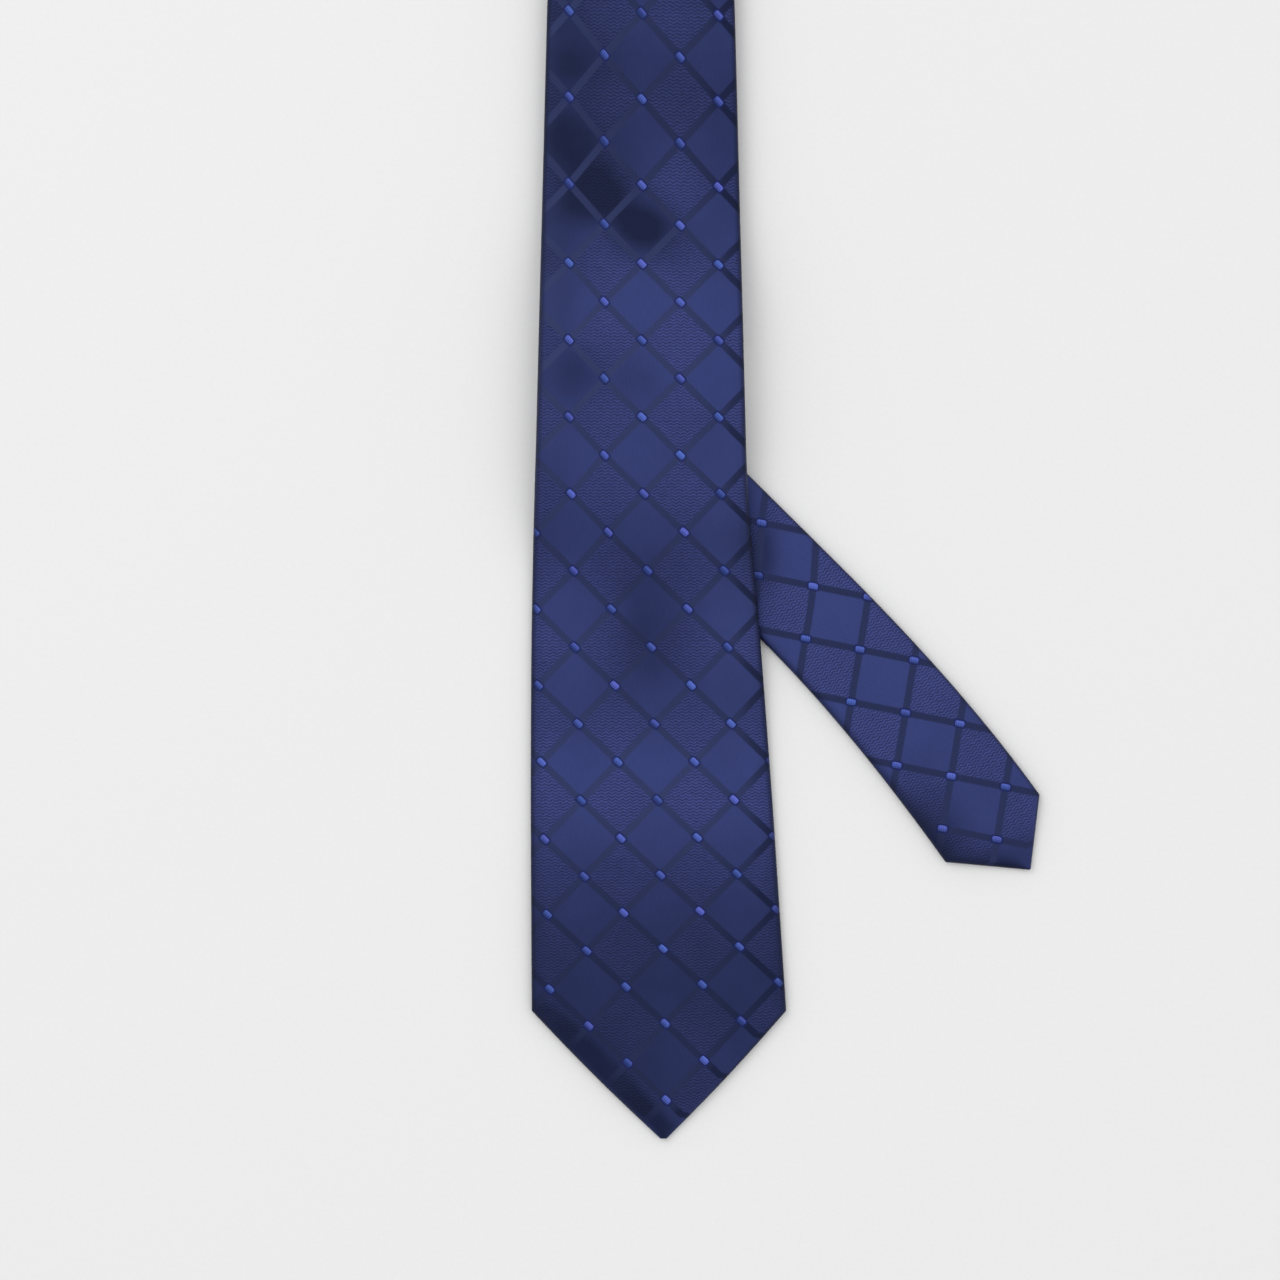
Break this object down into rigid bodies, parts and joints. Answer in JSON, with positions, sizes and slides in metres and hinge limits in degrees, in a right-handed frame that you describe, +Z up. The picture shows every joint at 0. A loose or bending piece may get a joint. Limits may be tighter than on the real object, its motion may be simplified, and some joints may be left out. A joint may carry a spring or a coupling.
{
  "type": "necktie",
  "caption": "Silk necktie folded in half at the neck, wide pointed blade on top, narrow tail creased behind it and turned out to one side, keeper loop on the back.",
  "frame": {"origin": "on the table, under the middle of the folded tie's bounding box", "axes": "+Y from the wide tip towards the neck fold, +X towards the side the tail end points to, +Z up from the table"},
  "size_m": [0.1604, 0.7606, 0.0127],
  "materials": {
    "silk": "jacquard woven silk with a satin sheen",
    "lining": "plain navy satin lining",
    "wool": "brushed ecru wool interlining",
    "thread": "twisted navy sewing thread",
    "label": "plain woven damask label",
    "care": "plain white satin tape"
  },
  "bodies": {
    "tail_half": {"gusset_back": "silk", "tail_shell_upper": "silk", "tail_interlining_upper": "wool", "tail_slip_stitch_upper": "thread", "back_piecing_seam": "thread", "gusset_fold": "silk", "neck_interlining_fold": "wool", "tail_crease_fold": "silk", "crease_interlining_fold": "wool"},
    "front_half": {"front_blade_shell": "silk", "gusset_front": "silk", "front_interlining": "wool", "front_tipping": "lining", "keeper_loop": "silk", "keeper_tack_left": "thread", "keeper_tack_right": "thread", "maker_label": "label", "label_stitch_left": "thread", "label_stitch_right": "thread", "care_tag_stitch": "thread", "front_bar_tack": "thread", "front_slip_stitch": "thread", "front_spare_thread": "thread", "front_piecing_seam": "thread"},
    "tail_end": {"tail_shell_end": "silk", "tail_interlining_end": "wool", "tail_tipping": "lining", "tail_bar_tack": "thread", "tail_slip_stitch_end": "thread", "tail_spare_thread": "thread"},
    "care_tag": {"care_tag": "care"}
  },
  "joints": [
    {"name": "neck_fold", "type": "hinge", "parent": "tail_half", "child": "front_half", "pos_m": [-0.04552, 0.37665, 0.0037], "axis": [-1, 0, 0], "range_deg": [0, 179.5], "deforming": ["gusset_fold", "neck_interlining_fold"]},
    {"name": "tail_crease", "type": "hinge", "parent": "tail_half", "child": "tail_end", "pos_m": [-0.04552, -0.16185, 0.0037], "axis": [-0.3843, 0.9232, 0], "range_deg": [0, 165], "deforming": ["tail_crease_fold", "crease_interlining_fold"]},
    {"name": "care_tag_flap", "type": "hinge", "parent": "front_half", "child": "care_tag", "pos_m": [-0.02142, -0.13235, 0.0082], "axis": [1, 0, 0], "range_deg": [0, 160]}
  ]
}
